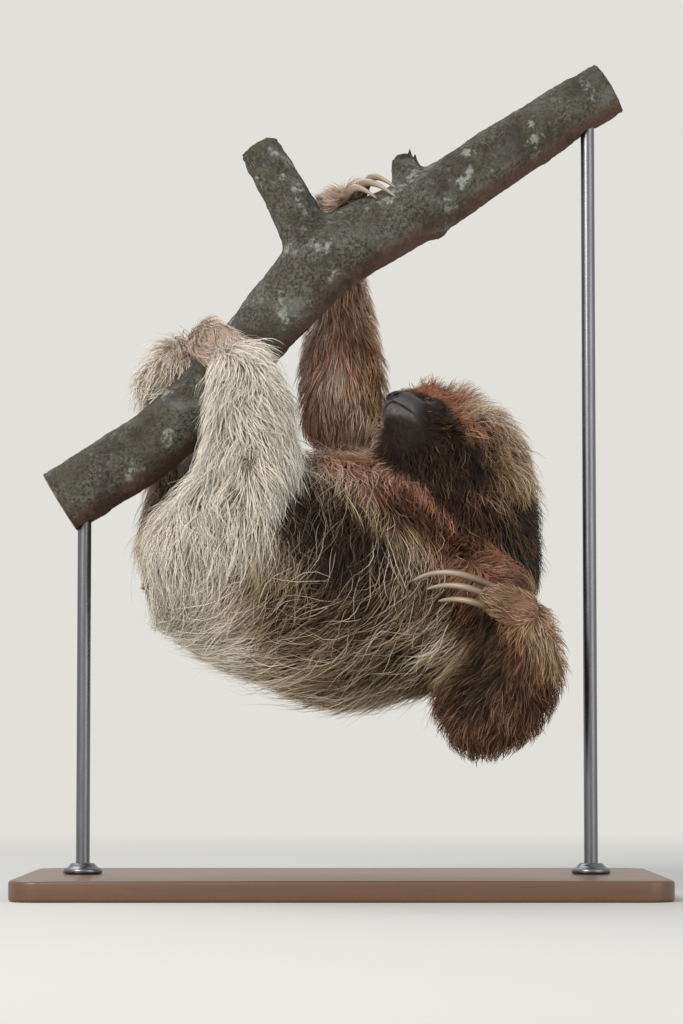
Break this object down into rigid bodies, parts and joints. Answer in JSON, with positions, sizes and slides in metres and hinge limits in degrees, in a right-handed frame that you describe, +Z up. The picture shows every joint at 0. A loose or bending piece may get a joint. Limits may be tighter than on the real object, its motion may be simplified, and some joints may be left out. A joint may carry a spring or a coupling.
{
  "type": "maned three-toed sloth",
  "caption": "Life-size still model of a maned three-toed sloth hanging under a cut branch and scratching its flank, on a plain display stand.",
  "frame": {"origin": "centre of the display base's underside", "axes": "+Z up; +X along the perch towards the animal's head end and the higher end of the branch; +Y towards the animal's right side"},
  "size_m": [0.556, 0.32, 0.7341],
  "materials": {
    "base_wood": "satin oiled walnut",
    "rod_steel": "satin dark grey",
    "bark": "rough grey-brown bark with pale lichen",
    "face_fur": "short dark fur",
    "nose_skin": "bare moist skin",
    "eye": "wet gloss",
    "body_fur": "long coarse buff fur over dark underfur",
    "neck_fur": "dense brown to buff fur",
    "mane_hair": "long black hair",
    "arm_fur": "rusty brown fur",
    "hand_fur": "short tan fur",
    "leg_fur": "long coarse pale buff fur",
    "claw_horn": "smooth horn, pale with darker underside"
  },
  "bodies": {
    "root": {"stand_base": "base_wood", "stand_rod_left": "rod_steel", "stand_rod_right": "rod_steel", "stand_collar_left": "rod_steel", "stand_collar_right": "rod_steel", "perch_branch": "bark", "head": "face_fur", "lower_jaw": "face_fur", "nose": "nose_skin", "left_eye": "eye", "right_eye": "eye", "trunk": "body_fur", "tail": "body_fur", "neck": "neck_fur", "mane": "mane_hair", "left_upper_arm": "arm_fur", "left_forearm": "arm_fur", "left_hand": "hand_fur", "right_upper_arm": "arm_fur", "right_forearm": "arm_fur", "right_hand": "hand_fur", "left_thigh": "leg_fur", "left_shank": "leg_fur", "left_foot": "leg_fur", "right_thigh": "leg_fur", "right_shank": "leg_fur", "right_foot": "leg_fur", "left_hand_claw_1": "claw_horn", "left_hand_claw_2": "claw_horn", "left_hand_claw_3": "claw_horn", "right_hand_claw_1": "claw_horn", "right_hand_claw_2": "claw_horn", "right_hand_claw_3": "claw_horn", "left_foot_claw_1": "claw_horn", "left_foot_claw_2": "claw_horn", "left_foot_claw_3": "claw_horn", "right_foot_claw_1": "claw_horn", "right_foot_claw_2": "claw_horn", "right_foot_claw_3": "claw_horn"}
  },
  "joints": []
}
